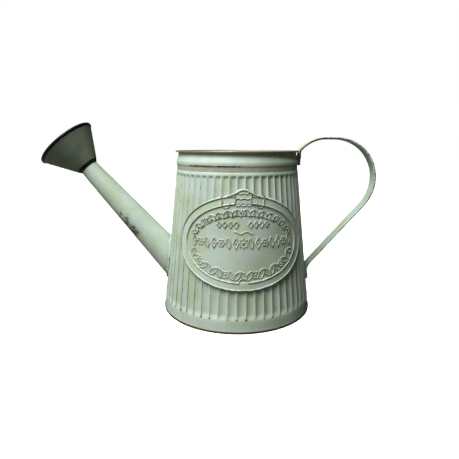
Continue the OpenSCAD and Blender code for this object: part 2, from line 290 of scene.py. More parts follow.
def rubbed_paint(name, light, dark, cool, bare_dark, bare_light, scuff=0.0):
    """Satin paint, mottled and streaked, rubbed through to bare metal where the mesh says it is worn."""
    finish = Finish(name)
    cloud = finish.noise(34, 4)
    blotch = finish.noise(120, 5, 0.65)
    grain = finish.noise(1500, 2)
    streak = finish.noise(1, 4, 0.7, stretch=(620, 620, 26))
    hue = (cloud * 0.75 + blotch * 0.25).step(0.38, 0.62)
    paint = finish.mix(hue, light, dark)
    tint = finish.noise(70, 4, 0.6, stretch=(1, 1, 0.6))
    paint = finish.mix(tint.step(0.50, 0.66) * 0.75, paint, cool)
    tone = 1.0 + (grain - 0.5) * 0.16 + (streak - 0.5) * 0.22 + (blotch - 0.5) * 0.16
    shade = finish.add("ShaderNodeVectorMath", {"operation": "SCALE"}, {0: paint, 3: tone})

    # The hollow mask pulls the paint towards a brown: grime, and painted shade in the flutes, under the
    # collar's bulge and lip, at the spout's root and beside the handle's hems.
    grime_and_shade = finish.mask("hollow") * (0.45 + blotch * 0.9)
    paint = finish.mix(grime_and_shade.clamped(), shade, finish.mix(0.55, shade, GRIME_AND_SHADE))

    patch = finish.noise(210, 5, 0.7)
    speck = finish.noise(900, 3, 0.7)
    worn = finish.mask("worn")
    bare = (worn * 1.25 + (patch - 0.5) * 1.1 + (speck - 0.5) * 0.35).step(0.48, 0.78)
    bare = bare * worn.step(0.02, 0.25)
    if scuff:
        scrape = finish.noise(1, 5, 0.8, stretch=(70, 300, 90))
        bare = (bare + (scrape * 0.6 + patch * 0.4 + worn * 0.22).step(0.62, 0.72) * scuff).clamped()
    metal = finish.mix(patch.step(0.35, 0.7), bare_dark, bare_light)
    metal = finish.mix(finish.mask("bronze") * (0.55 + blotch * 0.5), metal, BRONZE)
    colour = finish.mix(bare, paint, metal)

    fine = finish.bump(grain, 0.12, 0.05)
    dimple = finish.bump(blotch * 0.7 + streak * 0.3, 0.22, 0.25, fine)
    chip = finish.bump(1.0 - bare, 0.35, 0.06, dimple)
    finish.shade(Base_Color=colour, Roughness=0.50 + (blotch - 0.5) * 0.18 - bare * 0.10,
                 Metallic=bare * 0.55, Normal=chip, Specular_IOR_Level=0.42)
    return finish.material


SAGE_LIGHT = rgb(178, 194, 184)
SAGE_DARK = rgb(164, 180, 156)
SAGE_COOL = rgb(170, 190, 185)
# Brown for the hollow mask: grime, and painted shade in hollows and under ledges.
GRIME_AND_SHADE = rgb(118, 104, 72)
RUST_DARK = rgb(64, 48, 30)
RUST_LIGHT = rgb(106, 84, 56)
BRONZE = rgb(168, 150, 124)
ROSE_LIGHT = rgb(124, 134, 114)
ROSE_DARK = rgb(104, 120, 104)
ROSE_COOL = rgb(100, 120, 112)
ROSE_BLACK = rgb(24, 28, 20)


def make_finishes():
    sage = (SAGE_LIGHT, SAGE_DARK, SAGE_COOL, RUST_DARK, RUST_LIGHT)
    dark = (ROSE_LIGHT, ROSE_DARK, ROSE_COOL, ROSE_BLACK, ROSE_BLACK)
    return {"can": rubbed_paint("sage_paint", *sage),
            "spout": rubbed_paint("sage_paint_scuffed", *sage, scuff=0.5),
            "rose": rubbed_paint("dark_rose_paint", *dark)}


# ======== mesh making ========

# worn: rubbed to bare metal; hollow: grime and painted shade; bronze: the lip's copper colour.
MASKS = ("worn", "hollow", "bronze")


def smooth_step(low, high, at):
    """0 at low and 1 at high, smooth between them; low may be the larger of the two."""
    share = np.clip((at - low) / (high - low), 0, 1)
    return share * share * (3 - 2 * share)


def bell(distance, reach):
    """1 at distance 0, falling smoothly to nothing beyond the reach."""
    return np.exp(-(distance / reach) ** 2)


def bearings_round(steps):
    """Angles spread evenly round a full turn, in radians."""
    return np.arange(steps) * 2 * math.pi / steps


def grid_faces(rows, columns, wrap_rows, wrap_columns):
    """Four-sided faces over a grid of points, which may close on itself either way or both."""
    row_count = rows if wrap_rows else rows - 1
    column_count = columns if wrap_columns else columns - 1
    row = np.arange(row_count)[:, None]
    column = np.arange(column_count)[None, :]
    next_row = (row + 1) % rows
    next_column = (column + 1) % columns
    corners = (row * columns + column, row * columns + next_column,
               next_row * columns + next_column, next_row * columns + column)
    return np.stack(np.broadcast_arrays(*corners), -1).reshape(-1, 4).tolist()


def new_mesh(name, points, faces):
    """A mesh from points in millimetres."""
    mesh = bpy.data.meshes.new(name)
    mesh.from_pydata((np.asarray(points).reshape(-1, 3) * MM).tolist(), [], faces)
    return mesh


def clean_mesh(mesh, weld):
    """Joins points that are closer than the weld, in millimetres, and turns the faces outward."""
    shape = bmesh.new()
    shape.from_mesh(mesh)
    if weld:
        bmesh.ops.remove_doubles(shape, verts=shape.verts, dist=weld * MM)
    bmesh.ops.recalc_face_normals(shape, faces=shape.faces)
    shape.to_mesh(mesh)
    shape.free()


def make_piece(name, body, node, points, finish, faces=None, weld=0.0, sharp=40.0, **masks):
    """Makes a piece with its wear, grime and painted-shade masks, hangs it on its body and hides the
    model's part that it stands for.

    Where no faces are given, the points are a grid that closes on itself both ways.
    """
    if faces is None:
        faces = grid_faces(*points.shape[:2], True, True)
    mesh = new_mesh(name, points, faces)
    for mask in MASKS:
        layer = mesh.attributes.new(mask, "FLOAT", "POINT")
        if mask in masks:
            layer.data.foreach_set("value", np.clip(masks[mask], 0, 1).astype(np.float32).reshape(-1))
    clean_mesh(mesh, weld)
    mesh.shade_smooth()
    mesh.set_sharp_from_angle(angle=math.radians(sharp))
    mesh.materials.append(finish)
    piece = place_object(name, mesh)
    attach(piece, body)
    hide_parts(node)
    return piece


def units(directions):
    """Directions, one to a row or a single one, made one unit long."""
    return directions / np.linalg.norm(directions, axis=-1, keepdims=True)


def rounded(corners, radii, closed, bend_step):
    """A line through corners with an arc of the given radius in each; 0 keeps the corner sharp.

    No step of an arc turns by more than the bend step, in degrees.
    """
    corners = [np.asarray(corner, float) for corner in corners]
    count = len(corners)
    line = []
    for i, corner in enumerate(corners):
        if radii[i] == 0 or (not closed and i in (0, count - 1)):
            line.append(corner)
            continue
        to = units(corner - corners[i - 1])
        away = units(corners[(i + 1) % count] - corner)
        cross = to[0] * away[1] - to[1] * away[0]
        side = 1 if cross > 0 else -1
        turn = math.acos(max(-1.0, min(1.0, float(to @ away))))
        start = corner - to * radii[i] * math.tan(turn / 2)
        centre = start + side * radii[i] * np.array([-to[1], to[0]])
        first = math.atan2(start[1] - centre[1], start[0] - centre[0])
        steps = max(2, math.ceil(math.degrees(turn) / bend_step))
        for step in range(steps + 1):
            angle = first + side * turn * step / steps
            line.append(centre + radii[i] * np.array([math.cos(angle), math.sin(angle)]))
    return np.array(line)


def dense(line, spacing, closed=True):
    """The same line with extra points, so that no stretch is longer than the spacing."""
    line = np.asarray(line, float)
    ends = np.roll(line, -1, 0) if closed else line[1:]
    points = []
    for start, end in zip(line, ends):
        parts = max(1, math.ceil(np.linalg.norm(end - start) / spacing))
        points += [start + (end - start) * part / parts for part in range(parts)]
    if not closed:
        points.append(line[-1])
    return np.array(points)


def revolve(profile, steps):
    """Points of a profile of (radius, height) turned about the axis, one row for each point of it."""
    angle = bearings_round(steps)
    radius = profile[:, 0][:, None]
    height = np.broadcast_to(profile[:, 1][:, None], (len(profile), steps))
    return np.stack([radius * np.cos(angle), radius * np.sin(angle), height], -1)


def on_spout(points):
    """Moves points made about +Z, with the wall at height 0, onto the spout's axis."""
    tilt = math.radians(SPOUT_ANGLE - 90)
    x, y, z = points[..., 0], points[..., 1], points[..., 2]
    return np.stack([x * math.cos(tilt) + z * math.sin(tilt) - taper_r(SPOUT_ROOT_Z), y,
                     z * math.cos(tilt) - x * math.sin(tilt) + SPOUT_ROOT_Z], -1)


# ======== fluted wall ========

FLUTE_STEPS = 12
FOOT_FADE = 5.5
HEAD_FADE = 3.0
SEAM_HALF = 3.6
SEAM_EASE = 0.8
SHOULDER_FALL = 1.25
SPOUT_HOLE_R = SPOUT_ROOT_R - 2.5


def wall_heights():
    """Heights of the wall's rows: close together where the flutes begin and end."""
    low = np.linspace(WALL_FOOT, FLUTE_FOOT - 0.4, 9)
    foot = FLUTE_FOOT + FOOT_FADE * np.linspace(0, 1, 14)
    middle = np.linspace(FLUTE_FOOT + FOOT_FADE * 1.3, FLUTE_HEAD - HEAD_FADE * 1.5, 26)
    head = FLUTE_HEAD - HEAD_FADE * np.linspace(1, 0, 12)
    shoulder = np.linspace(FLUTE_HEAD, COLLAR_FOOT, 9)[1:]
    return np.concatenate([low, foot, middle, head, shoulder])


def wall_wear(height, angle, index, across):
    """Wear along the arrises, and wear at the foot: a dot under each and a line over the base's edge."""
    from_end = np.minimum(height - FLUTE_FOOT, FLUTE_HEAD - height)
    half_pitch = math.pi * taper_r(height) / FLUTES
    to_arris = (1 - np.abs(across)) * half_pitch
    arris = bell(to_arris, 0.6) * smooth_step(-0.3, 2.5, from_end)
    turn_from_front = np.degrees(angle) - 270
    handled = bell(turn_from_front + 48, 30) * (0.35 + 0.65 * bell(height - 22, 42))
    flute = index // FLUTE_STEPS + (index % FLUTE_STEPS > FLUTE_STEPS / 2)
    uneven = 0.55 + 0.45 * np.sin(flute * 2.4) * np.sin(flute * 0.77)
    foot_dot = bell(to_arris, 1.3) * bell(height - FLUTE_FOOT - 0.8, 1.3) * uneven
    return arris * (0.40 + 0.42 * handled), foot_dot * 0.8 + bell(height - BASE_EDGE_H, 1.0) * 0.35


def make_wall(finish):
    """Hollow flutes between sharp arrises, fading out at both ends, with a plain strip at the back."""
    height = wall_heights()[:, None]
    steps = FLUTES * FLUTE_STEPS
    index = np.arange(steps)[None, :]
    angle = index * 2 * math.pi / steps
    across = 2 * (index % FLUTE_STEPS) / FLUTE_STEPS - 1
    fade = smooth_step(0, FOOT_FADE, height - FLUTE_FOOT) * smooth_step(0, HEAD_FADE, FLUTE_HEAD - height)
    hollow = (1 - across ** 2) * fade

    from_back = (angle - math.pi / 2) * taper_r(height)
    fluted = 1 - smooth_step(SEAM_HALF, SEAM_HALF - SEAM_EASE, np.abs(from_back))
    turned = np.clip((height - FLUTE_HEAD) / SHOULDER_H, 0, 0.98)
    shoulder = SHOULDER_IN * SHOULDER_FALL * (1 - np.sqrt(1 - turned ** 2))
    inset = FOOT_IN * smooth_step(FLUTE_FOOT, BASE_EDGE_H, height) + shoulder
    outer = taper_r(height) - FLUTE_DEPTH * hollow * fluted - inset
    arris_wear, foot_wear = wall_wear(height, angle, index, across)
    worn = np.clip(arris_wear * fluted + foot_wear, 0, 1)

    def ring(radius):
        return np.stack([radius * np.cos(angle), radius * np.sin(angle), height + 0 * radius], -1)

    points = np.concatenate([ring(outer), ring(outer - SHEET)[::-1]])
    # The flutes' depth also darkens their middles, outside and inside, through the hollow mask: painted
    # shade.
    wall = make_piece("fluted_wall_sheet", "can", "fluted_wall", points, finish, sharp=28,
                      worn=np.concatenate([worn, worn[::-1] * 0.3]),
                      hollow=np.concatenate([hollow * 0.25, hollow[::-1] * 0.2]))
    cut_spout_hole(wall)


def cut_spout_hole(wall):
    """Opens the wall where the spout lets the water through."""
    steps = 64
    profile = np.array([[0, -SPOUT_ROOT_R], [SPOUT_HOLE_R, -SPOUT_ROOT_R],
                        [SPOUT_HOLE_R, SPOUT_ROOT_R], [0, SPOUT_ROOT_R]], float)
    mesh = new_mesh("spout_hole", on_spout(revolve(profile, steps)),
                    grid_faces(len(profile), steps, False, True))
    clean_mesh(mesh, 0.001)
    cutter = place_object("spout_hole", mesh)
    cut = wall.modifiers.new("spout_hole", "BOOLEAN")
    cut.operation = "DIFFERENCE"
    cut.solver = "EXACT"
    cut.object = cutter
    bpy.context.view_layer.update()
    graph = bpy.context.evaluated_depsgraph_get()
    wall.data = bpy.data.meshes.new_from_object(wall.evaluated_get(graph))
    wall.modifiers.clear()
    bpy.data.objects.remove(cutter)
    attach(wall, "can")


# ======== collar and base ========

def make_collar(finish):
    """Smooth ring on the wall's top edge: a plain band, a broad bulge, a neck and a thin turned lip."""
    ledge = COLLAR_FOOT + SEAT_GAP
    skirt_r = BAND_R - SHEET - SEAT_GAP
    skirt_z = FLUTE_HEAD + 0.1
    outer = [(BAND_R, ledge, 0.12), (BAND_R, BULGE_Z - BULGE_FOOT, 0.8),
             (BULGE_R, BULGE_Z - BULGE_HALF_H, 1.5), (BULGE_R, BULGE_Z + BULGE_HALF_H, 4.0),
             (NECK_R, BULGE_Z + NECK_RISE, 5.0), (NECK_R, CAN_H - LIP_T, 0.5)]
    lip = [(LIP_R, CAN_H - LIP_T, 0.5), (LIP_R, CAN_H, 0.5), (NECK_R - SHEET, CAN_H, 0.5)]
    inner = [(radius - SHEET, height, bend) for radius, height, bend in outer[-2:0:-1]]
    skirt = [(BAND_R - SHEET, ledge + 0.9, 0.2), (skirt_r - SHEET, ledge + 0.2, 0.2),
             (skirt_r - SHEET, skirt_z, 0), (skirt_r, skirt_z, 0), (skirt_r, ledge, 0)]
    corners = outer + lip + inner + skirt
    line = rounded([corner[:2] for corner in corners], [corner[2] for corner in corners], True, 8)
    profile = dense(line, 0.6)
    around = 360
    angle = bearings_round(around)[None, :]
    radius, height = profile[:, 0][:, None], profile[:, 1][:, None]
    outline = np.interp(height, [corner[1] for corner in outer], [corner[0] for corner in outer])
    outside = radius > outline - SHEET / 2
    turned_lip = np.maximum(smooth_step(NECK_R + 0.4, NECK_R + 1.2, radius) * (height > CAN_H - 2),
                            smooth_step(CAN_H - 0.6, CAN_H - 0.3, height))
    handled = 0.45 * bell(np.degrees(angle) - 240, 34)
    patchy = 0.55 + 0.35 * np.sin(angle * 7 + 1) * np.sin(angle * 3) + handled
    curl_rub = bell(height - BULGE_Z + 1.8, 1.3) * outside * patchy * 0.6
    # Painted shade, with some grime, in the groove under the bulge and under the lip, through the hollow
    # mask.
    under = (bell(height - BULGE_Z + 4.2, 2.8) * 1.3 + bell(height - CAN_H + 2.4, 1.2) * 0.5) * outside
    make_piece("collar_ring", "can", "top_collar", revolve(profile, around), finish,
               worn=turned_lip + curl_rub, hollow=under + 0 * angle, bronze=turned_lip + 0 * angle)


def make_base(finish):
    """Flat bottom with its edge folded up round the wall's foot and its inside raised in the middle."""
    edge_r = FOLD_R + SHEET - 0.02
    floor_z = SHEET + PAN_STEP_UP
    profile = rounded([(0, 0), (edge_r, 0), (edge_r, BASE_EDGE_H), (FOLD_R, BASE_EDGE_H), (FOLD_R, SHEET),
                       (PAN_STEP_R, SHEET), (PAN_STEP_R - 2, floor_z), (0, floor_z)],
                      [0, 0.5, 0.28, 0.1, 0.1, 1.0, 1.0, 0], True, 15)
    profile = dense(profile, 6)
    around = 300
    worn = smooth_step(FOLD_R - 0.8, FOLD_R, profile[:, 0][:, None]) + np.zeros((1, around))
    make_piece("base_pan", "can", "base_plate", revolve(profile, around), finish, weld=0.01, worn=worn)


# ======== oval plate ========

PLATE_R = taper_r(PLATE_Z)
PLATE_HALF_W = math.radians(PLATE_HALF_ANGLE) * PLATE_R
FIELD_HALF_W = math.radians(PLATE_HALF_ANGLE - BORDER_ANGLE) * PLATE_R
FIELD_HALF_H = PLATE_HALF_H - BORDER_W
CREST_MIDDLE = PLATE_HALF_H + CREST_UP - CREST_R
SWEEP_TOP = PLATE_HALF_H + 2.2
SWEEP_H = 4.2
SWEEP_OUT = 7.6
RELIEF_UP = 0.75
PLATE_COLUMNS = 340
BACK_COLUMNS = 24
UPPER_GARLAND = (46.5, 26.2)
LOWER_GARLAND = (48.0, 28.0)
SMALL_ROW_V = 16.2
SMALL_ROW_PITCH = 4.9
MAIN_ROW_V = 0.4
MAIN_ROW_PITCH = 6.3
WAVE_V = 9.4


def oval_distance(u, v, half_w, half_h):
    """Distance out from an oval, negative inside it, good near its line."""
    share = np.sqrt((u / half_w) ** 2 + (v / half_h) ** 2) + 1e-9
    slope = np.sqrt((u / half_w ** 2) ** 2 + (v / half_h ** 2) ** 2) + 1e-9
    return (share - 1) * share / slope


def round_distance(u, v, centre_u, centre_v, radius):
    return np.hypot(u - centre_u, v - centre_v) - radius


def crest_reach(v):
    """Half of the crest's width at a height, swept out at its foot to meet the oval."""
    crest = np.sqrt(np.clip(CREST_R ** 2 - (v - CREST_MIDDLE) ** 2, 0, None))
    sweep = SWEEP_OUT * np.clip((SWEEP_TOP - v) / SWEEP_H, 0, 1) ** 2
    return np.where(v > SWEEP_TOP - SWEEP_H, crest + sweep, 0)


def plate_edge(u, v):
    """Distance out from the plate's outline, negative inside it, good near its line."""
    oval = oval_distance(u, v, PLATE_HALF_W, PLATE_HALF_H)
    crest = round_distance(u, v, 0, CREST_MIDDLE, CREST_R)
    sweep = np.where((v > SWEEP_TOP - SWEEP_H) & (v < SWEEP_TOP), (np.abs(u) - crest_reach(v)) * 0.62, 99.0)
    return np.minimum(np.minimum(oval, crest), sweep)


def along_oval(half_w, half_h, first, last, count):
    """Places spread evenly along an oval between two angles: (u, v, heading in radians)."""
    fine = np.radians(np.linspace(first, last, 400))
    u, v = half_w * np.cos(fine), half_h * np.sin(fine)
    run = np.concatenate([[0], np.cumsum(np.hypot(np.diff(u), np.diff(v)))])
    places = []
    for at in (np.arange(count) + 0.5) * run[-1] / count:
        angle = np.interp(at, run, fine)
        heading = math.atan2(half_h * math.cos(angle), -half_w * math.sin(angle))
        places.append((half_w * math.cos(angle), half_h * math.sin(angle), heading))
    return places


class Relief:
    """Raised lines drawn on the plate, kept as the height that each of its points stands up."""

    def __init__(self, u, v):
        self.u = u
        self.v = v
        self.height = np.zeros_like(u)

    def ridge(self, distance, half_w=0.76, up=RELIEF_UP):
        """A raised line with a rounded back where the distance is near 0."""
        self.height = np.maximum(self.height, up * np.clip(1 - (distance / half_w) ** 2, 0, None))

    def near(self, u, v, heading):
        """Distances along and across a direction from a place."""
        along = (self.u - u) * math.cos(heading) + (self.v - v) * math.sin(heading)
        across = (self.v - v) * math.cos(heading) - (self.u - u) * math.sin(heading)
        return along, across

    def leaf(self, u, v, heading, length, width):
        """Outline of a pointed leaf with a vein along its middle."""
        along, across = self.near(u, v, heading)
        share = np.clip(2 * along / length, -1, 1)
        edge = np.abs(across) - width / 2 * (1 - share ** 2)
        beyond = np.maximum(np.abs(along) - length / 2, 0)
        self.ridge(np.hypot(edge, beyond * 2))
        self.ridge(np.hypot(across, np.maximum(np.abs(along) - length * 0.3, 0)), 0.4, 0.45)

    def stroke(self, u, v, heading, length):
        along, across = self.near(u, v, heading)
        self.ridge(np.hypot(across, np.maximum(np.abs(along) - length / 2, 0)), 0.7)

    def dot(self, u, v, radius):
        self.ridge(np.maximum(np.hypot(self.u - u, self.v - v) - radius * 0.3, 0), radius * 0.7)

    def lozenge(self, u, v, width, height):
        edge = np.abs(self.u - u) / width + np.abs(self.v - v) / height - 0.5
        self.ridge(edge * min(width, height) * 0.9)

    def rosette(self, u, v, radius, petals=6):
        bearing = np.arctan2(self.v - v, self.u - u)
        edge = np.hypot(self.u - u, self.v - v) - radius * (0.82 + 0.18 * np.cos(petals * bearing))
        self.ridge(edge)
        self.dot(u, v, radius * 0.42)


def draw_borders(relief):
    """The rolled rim, the inner line with its small notch, and the crest's ribbons and side panels."""
    u, v = relief.u, relief.v
    relief.ridge(plate_edge(u, v) + 1.5, 0.8, 0.8)
    inner = oval_distance(u, v, FIELD_HALF_W, FIELD_HALF_H)
    notch = round_distance(u, v, 0, -FIELD_HALF_H - 0.4, 4.0)
    inner = np.maximum(inner, -notch)
    crest_foot = np.abs(u) < 7.2
    relief.ridge(np.where(crest_foot & (v > 0), 9.0, inner), 0.7, 0.8)
    for side in (-1, 1):
        relief.stroke(side * 19.0, 37.2, math.radians(90 - side * 8), 6.0)
        curl = round_distance(u, v, side * 15.4, 33.6, 3.6)
        relief.ridge(np.where((v < 35.0) & (v > 29.5), curl, 9.0), 0.6)
        relief.stroke(side * 7.4, 40.3, math.radians(90 - side * 4), 3.6)
        relief.stroke(side * 7.0, 36.0, math.radians(90 + side * 20), 3.2)
    ribbon = np.maximum(np.abs(u) - 6.4, 0)
    relief.ridge(np.hypot(v - 42.4 - 0.35 * np.cos(u * 1.3), ribbon), 0.55)
    relief.ridge(np.hypot(v - 38.0 - 0.35 * np.sin(u * 1.1 + 1.2), ribbon), 0.55)
    relief.ridge(np.hypot(v - 33.0 + 1.1 * np.abs(np.cos(u * 0.62)), ribbon * 0.8), 0.62)


def draw_garlands(relief):
    """Leaves that follow the oval above and below, and rows of lozenges, leaves and rosettes between."""
    for i, (u, v, heading) in enumerate(along_oval(*UPPER_GARLAND, 167, 13, 27)):
        lean = 0.95 if i % 2 else -0.95
        if i % 9 == 4:
            relief.rosette(u, v, 2.6)
        else:
            relief.leaf(u, v, heading + lean, 7.4, 3.2)
            relief.dot(u - 2.2 * math.sin(heading + lean), v + 2.2 * math.cos(heading), 0.9)
    for i, (u, v, heading) in enumerate(along_oval(*LOWER_GARLAND, 196, 344, 21)):
        lean = 1.05 if i % 2 else -1.05
        if i % 5 == 2:
            relief.rosette(u, v, 3.1)
        else:
            relief.leaf(u, v, heading + lean, 9.0, 3.9)
    for side in (-1, 1):
        for i in range(4):
            place = side * (6.2 + SMALL_ROW_PITCH * i)
            if i % 2:
                relief.leaf(place, SMALL_ROW_V, math.pi / 2, 5.6, 2.6)
            else:
                relief.lozenge(place, SMALL_ROW_V, 4.0, 5.6)
            relief.dot(place + side * 2.4, SMALL_ROW_V, 0.7)
    for i in range(-7, 8):
        place = i * MAIN_ROW_PITCH
        if i == 0:
            relief.rosette(place, MAIN_ROW_V, 4.2, 8)
        elif i % 3 == 0:
            relief.rosette(place, MAIN_ROW_V, 3.2)
        elif i % 3 == 1:
            relief.leaf(place, MAIN_ROW_V, math.pi / 2 + 0.18, 9.2, 3.6)
        else:
            relief.lozenge(place, MAIN_ROW_V, 4.6, 9.0)
            relief.dot(place, MAIN_ROW_V, 0.9)
    wave = WAVE_V + 0.9 * np.sin(relief.u * 0.62)
    relief.ridge(np.hypot(relief.v - wave, np.maximum(np.abs(relief.u) - 8, 0)), 0.5)


def plate_rows():
    """Heights of the plate's rows above its middle, close together at its ends and at the crest's foot."""
    def ease(start, end, count, power):
        return start + (end - start) * (1 - (1 - np.linspace(0, 1, count)) ** power)
    low = ease(0, -PLATE_HALF_H, 120, 1.7)[::-1]
    shoulder = ease(0, PLATE_HALF_H - 0.4, 120, 1.5)[1:]
    crest = ease(PLATE_HALF_H - 0.3, PLATE_HALF_H + CREST_UP, 26, 1.8)
    return np.concatenate([low, shoulder, crest])


def wrap_plate(u, v, lift):
    """Points that stand off the can's side by a lift, at places across and above the plate's middle."""
    z = PLATE_Z + v
    angle = u / PLATE_R + math.radians(PLATE_TURN)
    radius = taper_r(z) + lift
    return np.stack([radius * np.sin(angle), -radius * np.cos(angle), z], -1).reshape(-1, 3)


def plate_faces(rows):
    """Faces of a fine front and a coarser back, with strips that close the sides and the two ends."""
    shift = rows * PLATE_COLUMNS
    faces = grid_faces(rows, PLATE_COLUMNS, False, False)
    faces += [[shift + i for i in face[::-1]] for face in grid_faces(rows, BACK_COLUMNS, False, False)]
    for i in range(rows - 1):
        front, back = i * PLATE_COLUMNS, shift + i * BACK_COLUMNS
        for first, last in ((front, back), (front + PLATE_COLUMNS - 1, back + BACK_COLUMNS - 1)):
            faces.append([first, first + PLATE_COLUMNS, last + BACK_COLUMNS, last])
    for i in (0, rows - 1):
        faces.append([i * PLATE_COLUMNS + k for k in range(PLATE_COLUMNS)]
                     + [shift + i * BACK_COLUMNS + k for k in range(BACK_COLUMNS - 1, -1, -1)])
    return faces


def make_plate(finish):
    """Pressed plate wrapped round the can over the flutes, with all of its relief in the mesh."""
    rows = plate_rows()
    oval = PLATE_HALF_W * np.sqrt(np.clip(1 - (rows / PLATE_HALF_H) ** 2, 0, None))
    reach = np.maximum(np.maximum(oval, crest_reach(rows)), 0.25)[:, None]
    u = reach * np.linspace(-1, 1, PLATE_COLUMNS)
    v = rows[:, None] + 0 * u
    back_u = reach * np.linspace(-1, 1, BACK_COLUMNS)
    back_v = rows[:, None] + 0 * back_u

    relief = Relief(u, v)
    draw_borders(relief)
    draw_garlands(relief)
    rim = plate_edge(u, v)
    inner = oval_distance(u, v, FIELD_HALF_W, FIELD_HALF_H)
    band = 0.45 * smooth_step(-0.8, 0.2, inner)
    edge_round = 0.7 * smooth_step(-0.9, 0, rim) ** 2
    swell = 0.25 * np.sin(u * 0.09 + 1) * np.cos(v * 0.11)
    top = PLATE_T + band + relief.height + swell * (inner < -1) - edge_round
    soft = relief.height.copy()
    for _ in range(3):
        soft[1:-1, 1:-1] = (soft[:-2, 1:-1] + soft[2:, 1:-1] + soft[1:-1, :-2] + soft[1:-1, 2:]) / 4

    points = np.concatenate([wrap_plate(u, v, top), wrap_plate(back_u, back_v, SEAT_GAP)])
    handled = 0.52 + 0.2 * smooth_step(-20, 34, v) * smooth_step(50, -45, u)
    worn = np.clip(relief.height / RELIEF_UP, 0, 1) ** 1.6 * handled + bell(rim, 0.7) * 0.45
    stain = np.clip(soft / 0.5, 0, 1) * (1 - np.clip(relief.height / 0.5, 0, 1)) + 0.25 * (inner < -1)
    blank = np.zeros(back_u.size)
    make_piece("oval_relief_plate", "can", "oval_plate", points, finish, plate_faces(len(rows)), sharp=60,
               worn=np.append(worn, blank), hollow=np.append(stain, blank))


# ======== spout ========

SPOUT_SEAM_BEARING = 190.0
SPOUT_SEAM_UP = 0.35
KNOCKS_ALONG = 50.0
KNOCKS_BEARING = 232.0


def spout_r(along):
    """Outer radius of the spout at a place along its axis, from the wall."""
    return SPOUT_ROOT_R - SPOUT_SLOPE * along


def root_line(bearings, grow=0.0):
    """How far along the spout's axis each side of its surface meets the can, by bisection."""
    low = np.full_like(bearings, -2.5 * SPOUT_ROOT_R)
    high = np.full_like(bearings, 2.5 * SPOUT_ROOT_R)
    for _ in range(40):
        middle = (low + high) / 2
        radius = spout_r(middle) + grow
        points = on_spout(np.stack([radius * np.cos(bearings), radius * np.sin(bearings), middle], -1))
        inside = np.hypot(points[..., 0], points[..., 1]) < taper_r(points[..., 2]) + SEAT_GAP
        low = np.where(inside, middle, low)
        high = np.where(inside, high, middle)
    return (low + high) / 2


def make_spout(finish):
    """Rolled cone with a lap seam along its underside, open at its tip for the rose's plug."""
    around = 160
    bearings = bearings_round(around)
    root = root_line(bearings)
    share = np.linspace(0, 1, 70)[:, None]
    along = root * (1 - share) + SPOUT_LEN * share
    under = (bearings - math.radians(SPOUT_SEAM_BEARING)) * spout_r(along)
    seam = SPOUT_SEAM_UP * smooth_step(-2.6, -2.2, under) * smooth_step(2.6, 0.5, under)
    radius = spout_r(along) + seam * smooth_step(1.0, 0.96, share) * smooth_step(0, 0.02, share)
    rows_r = np.concatenate([radius, spout_r(along)[::-1] - SHEET])
    rows_z = np.concatenate([along, along[::-1]])
    points = on_spout(np.stack([rows_r * np.cos(bearings), rows_r * np.sin(bearings), rows_z], -1))
    seam_rub = bell(under - 0.2, 2.4) * 0.55 + bell(under + 2.4, 0.5) * 0.4
    root_rub = bell(along - root, 1.5) * 0.4
    knocked = bell(along - KNOCKS_ALONG, 24) * bell(np.degrees(bearings) - KNOCKS_BEARING, 42) * 0.45
    inside = np.zeros((len(along), around))
    # Painted shade round the spout's root, where it meets the can, through the hollow mask.
    make_piece("spout_cone", "can", "spout_tube", points, finish,
               worn=np.concatenate([seam_rub + root_rub + knocked + 0.12, inside]),
               hollow=np.concatenate([bell(along - root, 4.0) * 0.6, inside]))


def make_solder(finish):
    """Uneven bead of solder along the line where the spout meets the can."""
    around, section = 220, 14
    clear = 0.35
    bearings = bearings_round(around)
    along = root_line(bearings, 0.2) + clear
    radius = spout_r(along) + clear
    middle = on_spout(np.stack([radius * np.cos(bearings), radius * np.sin(bearings), along], -1))
    run = units(np.roll(middle, -1, 0) - np.roll(middle, 1, 0))
    outward = units(middle * np.array([1, 1, 0]))
    side = units(np.cross(run, outward))
    up = np.cross(side, run)
    lumps = 1 + 0.13 * np.sin(bearings * 9 + 1) + 0.09 * np.sin(bearings * 17)
    lumps += 0.06 * np.sin(bearings * 31 + 2)
    turn = bearings_round(section)
    thick = (SOLDER_R * lumps)[:, None, None]
    points = middle[:, None] + thick * (side[:, None] * np.cos(turn)[:, None] * 1.15
                                        + up[:, None] * np.sin(turn)[:, None] * 0.95)
    worn = np.zeros((around, section)) + 0.18
    make_piece("spout_solder_bead", "can", "spout_solder", points, finish, worn=worn, hollow=worn)


# ======== rose ========

ROSE_SEAM_BEARING = 150.0
ROSE_SEAM_UP = 0.25
FACE_RINGS = 14
BURR_W = 0.55
BURR_UP = 0.18


def make_sleeve(finish):
    """Plug in the spout's tip, a dark flare over the joint, and a turned end that holds the rose on."""
    turned_r = PLUG_R + TURNED_OUT
    end = TURNED_START + SHEET
    profile = rounded([(PLUG_R - SHEET, SPOUT_LEN - PLUG_LEN), (PLUG_R, SPOUT_LEN - PLUG_LEN),
                       (PLUG_R, FLARE_START), (SPOUT_TIP_R + FLARE_COVER, FLARE_START),
                       (FLARE_R, FLARE_END), (PLUG_R, FLARE_END), (PLUG_R, TURNED_START),
                       (turned_r, TURNED_START), (turned_r, end), (PLUG_R - SHEET, end)],
                      [0.1, 0.1, 0, 0, 0.2, 0, 0, 0.15, 0.15, 0.1], True, 20)
    profile = dense(profile, 1.2)
    around = 120
    worn = np.ones((len(profile), around))
    make_piece("sleeve_ring", "sleeve", "rose_sleeve", on_spout(revolve(profile, around)), finish,
               worn=worn, hollow=0.6 * worn)


